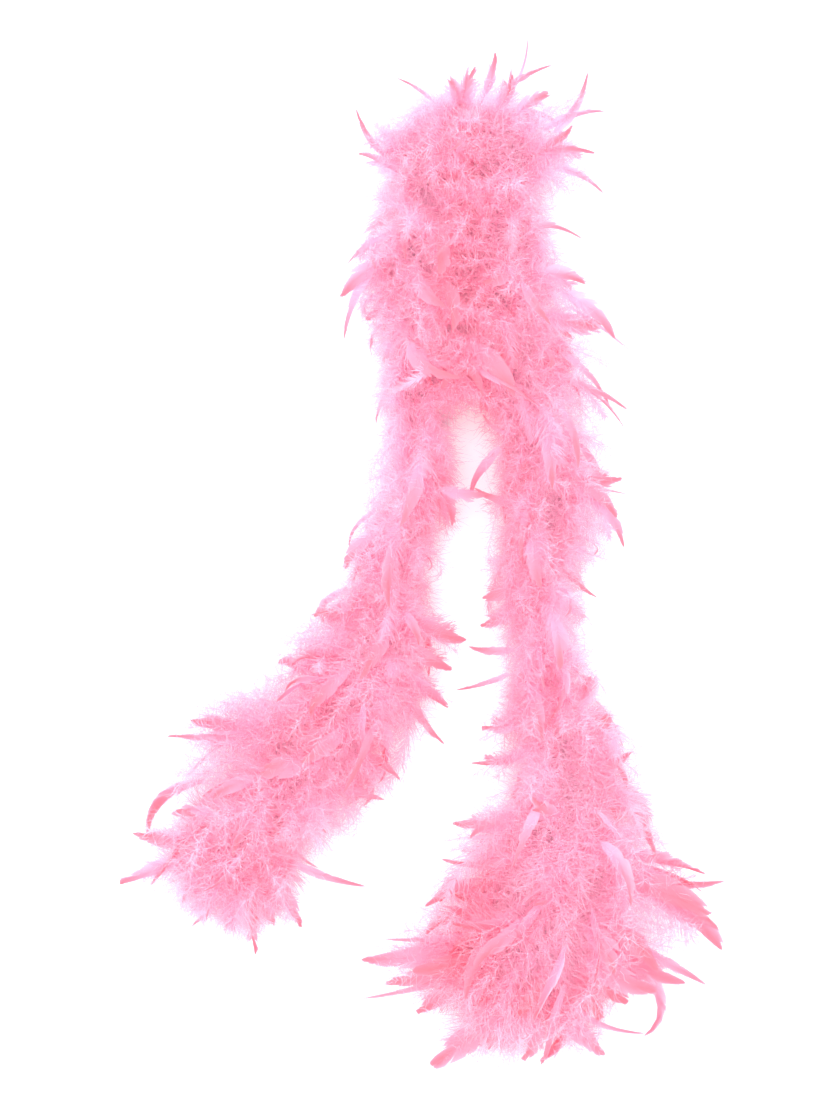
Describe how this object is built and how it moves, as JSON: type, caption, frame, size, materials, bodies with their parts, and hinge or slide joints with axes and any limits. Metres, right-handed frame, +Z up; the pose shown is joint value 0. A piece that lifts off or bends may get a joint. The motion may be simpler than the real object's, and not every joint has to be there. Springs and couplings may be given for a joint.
{
  "type": "feather boa",
  "caption": "Fluffy dyed feather boa folded in half and lying flat, with pointed plumes sweeping to two flared, knotted tails.",
  "frame": {"origin": "middle of the boa's base, on the surface that it lies on", "axes": "+Z up from the surface, +Y towards the fold, +X to the right-hand strand's side seen from above"},
  "size_m": [0.5768, 1.009, 0.1],
  "materials": {
    "dyed_feather": "soft dyed down and vanes, matt with a faint sheen",
    "cotton_cord": "twisted dyed cotton yarn, matt",
    "binding_thread": "spun thread, matt"
  },
  "bodies": {
    "root": {"core_cord": "cotton_cord", "end_knot_left": "cotton_cord", "end_knot_right": "cotton_cord", "end_whipping_left": "binding_thread", "end_whipping_right": "binding_thread", "feather_whorl_left_01": "dyed_feather", "feather_whorl_left_02": "dyed_feather", "feather_whorl_left_03": "dyed_feather", "feather_whorl_left_04": "dyed_feather", "feather_whorl_left_05": "dyed_feather", "feather_whorl_left_06": "dyed_feather", "feather_whorl_left_07": "dyed_feather", "feather_whorl_left_08": "dyed_feather", "feather_whorl_left_09": "dyed_feather", "feather_whorl_left_10": "dyed_feather", "feather_whorl_left_11": "dyed_feather", "feather_whorl_left_12": "dyed_feather", "feather_whorl_left_13": "dyed_feather", "feather_whorl_left_14": "dyed_feather", "feather_whorl_left_15": "dyed_feather", "feather_whorl_left_16": "dyed_feather", "feather_whorl_left_17": "dyed_feather", "feather_whorl_left_18": "dyed_feather", "feather_whorl_left_19": "dyed_feather", "feather_whorl_left_20": "dyed_feather", "feather_whorl_left_21": "dyed_feather", "feather_whorl_left_22": "dyed_feather", "feather_whorl_left_23": "dyed_feather", "feather_whorl_left_24": "dyed_feather", "feather_whorl_right_01": "dyed_feather", "feather_whorl_right_02": "dyed_feather", "feather_whorl_right_03": "dyed_feather", "feather_whorl_right_04": "dyed_feather", "feather_whorl_right_05": "dyed_feather", "feather_whorl_right_06": "dyed_feather", "feather_whorl_right_07": "dyed_feather", "feather_whorl_right_08": "dyed_feather", "feather_whorl_right_09": "dyed_feather", "feather_whorl_right_10": "dyed_feather", "feather_whorl_right_11": "dyed_feather", "feather_whorl_right_12": "dyed_feather", "feather_whorl_right_13": "dyed_feather", "feather_whorl_right_14": "dyed_feather", "feather_whorl_right_15": "dyed_feather", "feather_whorl_right_16": "dyed_feather", "feather_whorl_right_17": "dyed_feather", "feather_whorl_right_18": "dyed_feather", "feather_whorl_right_19": "dyed_feather", "feather_whorl_right_20": "dyed_feather", "feather_whorl_right_21": "dyed_feather", "feather_whorl_right_22": "dyed_feather", "feather_whorl_right_23": "dyed_feather", "feather_whorl_right_24": "dyed_feather", "feather_whorl_right_25": "dyed_feather", "feather_whorl_right_26": "dyed_feather"}
  },
  "joints": []
}
